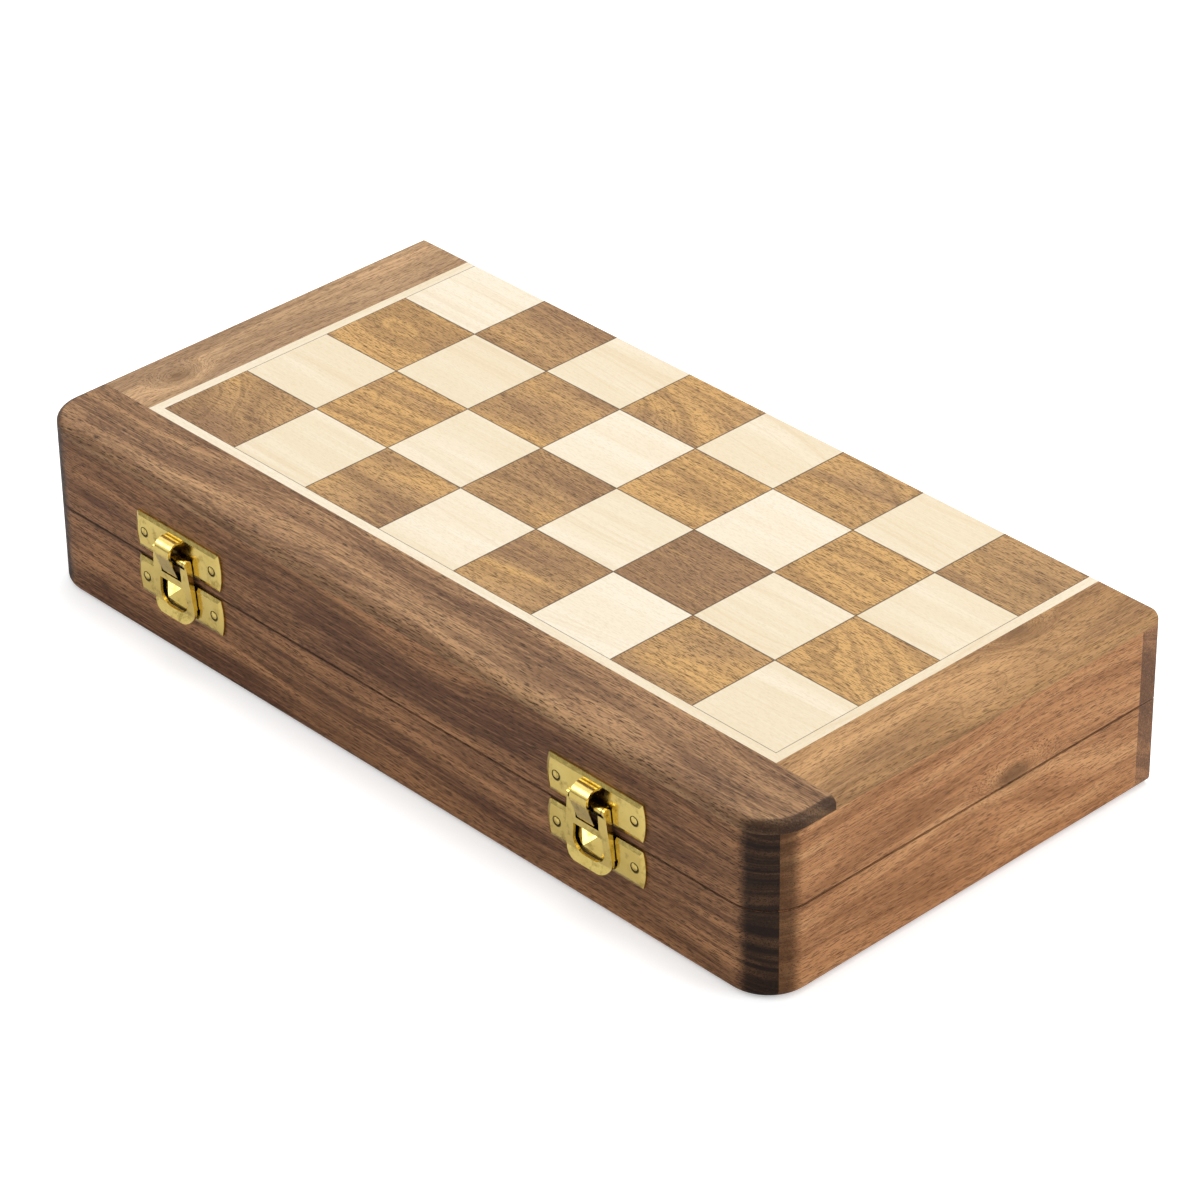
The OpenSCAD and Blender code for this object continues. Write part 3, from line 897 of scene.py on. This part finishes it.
@dataclass
class BoxHalf:
    """One half of the box: four rails, a panel and half of the board."""

    half: Half
    seed: float
    chequer: Chequer = field(default_factory=Chequer)
    seam_z: float = 28.575

    def name(self, piece: str) -> str:
        """Gives the full name of one of the half's pieces."""
        return f"{self.half.value}_{piece}"

    def build(self, felt: bpy.types.Material) -> None:
        """Dresses the half's pieces and lays its felt.

        Args:
            felt: The material of the lining.
        """
        cross = Grain.ACROSS_BOX
        seed, seam = self.seed, self.seam_z
        planks = {
            "front_rail": (SHEESHAM, Plank(1.3, seam_z=seam)),
            "back_rail": (SHEESHAM_PALE_END, Plank(2.6, seam_z=seam)),
            "right_rail": (SHEESHAM_RED, Plank(3.9, cross, knots=(SEAM_KNOT,), seam_z=seam)),
            "left_rail": (SHEESHAM_RED, Plank(5.2, cross, seam_z=seam)),
            "front_border": (SHEESHAM_BORDER, Plank(seed + 6.1)),
            "right_border": (
                SHEESHAM_LIGHT, Plank(seed + 7.7, cross, knots=(RIGHT_BORDER_KNOT,))
            ),
            "left_border": (
                SHEESHAM_GREY, Plank(seed + 8.2, cross, knots=(LEFT_BORDER_KNOT,))
            ),
            "panel": (BIRCH_PLY, Plank(seed + 9.4)),
            "front_stringing": (MAPLE, Plank(seed + 10.1)),
            "left_stringing": (MAPLE, Plank(seed + 11.3, cross)),
            "right_stringing": (MAPLE, Plank(seed + 12.9, cross)),
            "dark_squares": (SHEESHAM_SQUARES, Plank(seed + 13.0, chequer=self.chequer)),
            "light_squares": (MAPLE, Plank(seed + 14.0, chequer=self.chequer)),
        }
        for piece, (timber, plank) in planks.items():
            dress(self.name(piece), timber.material(plank))
        FeltLining(self.half).build(felt)


@dataclass
class Hardware:
    """Everything of brass: the hinges, the latches, their pins, screws and nails."""

    finish: StampedBrass = field(default_factory=StampedBrass)
    latch_x: float = 87.6
    nail_pitch: float = 30.4
    nail_z: tuple[float, float] = (22.375, 37.575)

    def nails(self) -> tuple[tuple[float, float], ...]:
        """Gives the places of the latches' nails, as x and z in millimetres."""
        return tuple(
            (latch * self.latch_x + side * self.nail_pitch / 2, z)
            for latch in (-1, 1)
            for side in (-1, 1)
            for z in self.nail_z
        )

    def build(self) -> None:
        """Dresses the brass pieces."""
        brass = self.finish.material()
        plates = self.finish.material(self.nails())
        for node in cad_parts:
            if node.startswith(("hinge_", "latch_")):
                dress(node, plates if node.endswith("_plate") else brass)


@dataclass(frozen=True)
class Lamp:
    """A square lamp that faces the box: its place and side in metres, its power in watts."""

    name: str
    place: tuple[float, float, float]
    side: float
    power: float
    aim: tuple[float, float, float] = (0.0, 0.0, 0.03)

    def hang(self) -> None:
        """Hangs the lamp."""
        data = bpy.data.lights.new(self.name, "AREA")
        data.shape = "SQUARE"
        data.size = self.side
        data.energy = self.power
        lamp = bpy.data.objects.new(self.name, data)
        lamp.location = self.place
        towards = Vector(self.aim) - Vector(self.place)
        lamp.rotation_euler = towards.to_track_quat("-Z", "Y").to_euler()
        bpy.context.scene.collection.objects.link(lamp)


@dataclass
class Studio:
    """A white sweep under soft lamps, and the camera at the photograph's place."""

    camera_mm: tuple[float, float, float] = (883.3, -823.3, 795.9)
    heading: float = 46.735
    dip: float = 32.529
    roll: float = -0.736
    lens: float = 148.61
    sensor: float = 36.0
    floor_size: float = 8.0
    room_light: float = 0.42
    wall_glint: float = 0.12
    ceiling_glint: float = 1.25
    glint_range: tuple[float, float] = (-0.02, 0.35)
    paper: str = "#e6e6e6"
    floor_drop: float = 0.3 * MM
    floor_glow: float = 0.68
    shade_mm: float = 17.0
    shade: float = 0.5
    lamps: tuple[Lamp, ...] = (
        Lamp("key_lamp", (-0.1, 0.45, 1.6), 1.0, 13.4),
        Lamp("end_lamp", (1.5, 0.7, 0.7), 0.9, 11.4),
        Lamp("front_lamp", (-0.95, -0.95, 1.0), 0.75, 5.0),
    )

    def _world(self) -> None:
        """Makes a room that is white to look at, lights the box softly from all round, and
        shows itself in the brass as a bright ceiling over dark walls."""
        world = bpy.data.worlds.new("room")
        world.use_nodes = True
        tree = world.node_tree
        tree.nodes.clear()
        height = add(tree, "SeparateXYZ", {0: add(tree, "TexCoord", out="Generated")}, out=2)
        low, high = self.glint_range
        glint = add(
            tree, "MapRange",
            {"Value": height, 1: low, 2: high, 3: self.wall_glint, 4: self.ceiling_glint},
        )
        seen = add(tree, "LightPath", out="Is Camera Ray")
        glossy = add(tree, "LightPath", out="Is Glossy Ray")
        strength = add(tree, "Mix", {0: glossy, 2: self.room_light, 3: glint})
        strength = add(tree, "Mix", {0: seen, 2: strength, 3: 1.0})
        glow = add(tree, "Background", {"Color": (1.0, 1.0, 1.0, 1.0), "Strength": strength})
        add(tree, "OutputWorld", {"Surface": glow})
        bpy.context.scene.world = world

    def _floor(self) -> None:
        """Lays the white floor, which keeps the box's shadow: its glow, seen by the camera only,
        is dimmed into a painted shadow in the narrow strip where the box keeps the room's light
        off."""
        half = self.floor_size / 2
        data = bpy.data.meshes.new("floor")
        corners = ((-half, -half), (half, -half), (half, half), (-half, half))
        data.from_pydata([(x, y, -self.floor_drop) for x, y in corners], [], [(0, 1, 2, 3)])
        floor = bpy.data.objects.new("floor", data)
        bpy.context.scene.collection.objects.link(floor)
        material = new_material("white_paper")
        tree = material.node_tree
        paper = add(tree, "BsdfDiffuse", {"Color": linear(self.paper)})
        # Painted shadow: the glow is dimmed where ambient occlusion finds the box close
        open_air = add(
            tree, "AmbientOcclusion", {"Distance": self.shade_mm * MM}, out="AO", samples=8
        )
        glow = add(
            tree, "MapRange",
            {"Value": open_air, 3: self.floor_glow * (1 - self.shade), 4: self.floor_glow},
        )
        seen = add(tree, "LightPath", out="Is Camera Ray")
        strength = add(tree, "Math", {0: seen, 1: glow}, operation="MULTIPLY")
        glow = add(tree, "Emission", {"Color": (1.0, 1.0, 1.0, 1.0), "Strength": strength})
        both = add(tree, "AddShader", {0: paper, 1: glow})
        add(tree, "OutputMaterial", {"Surface": both})
        data.materials.append(material)

    def _camera(self) -> None:
        """Sets up the camera."""
        data = bpy.data.cameras.new("camera")
        data.lens = self.lens
        data.sensor_width = self.sensor
        data.clip_end = 20.0
        camera = bpy.data.objects.new("camera", data)
        turn = (
            Matrix.Rotation(math.radians(self.heading), 4, "Z")
            @ Matrix.Rotation(math.radians(90 - self.dip), 4, "X")
            @ Matrix.Rotation(math.radians(self.roll), 4, "Z")
        )
        camera.matrix_world = Matrix.Translation(Vector(self.camera_mm) * MM) @ turn
        bpy.context.scene.collection.objects.link(camera)
        bpy.context.scene.camera = camera

    def build(self) -> None:
        """Sets up the camera, the room, the floor and the lamps."""
        self._camera()
        self._world()
        self._floor()
        for lamp in self.lamps:
            lamp.hang()
        bpy.context.scene.view_settings.view_transform = "Standard"
        LOG.info("studio ready")


def main() -> None:
    """Builds the studio, then each part of the box."""
    logging.basicConfig(level=logging.INFO, format="%(name)s: %(message)s")
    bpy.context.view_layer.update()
    Studio().build()
    felt = WoolFelt().material()
    for half, seed in ((Half.BASE, 40.0), (Half.LID, 0.0)):
        BoxHalf(half, seed).build(felt)
    Hardware().build()


if __name__ == "__main__":
    main()
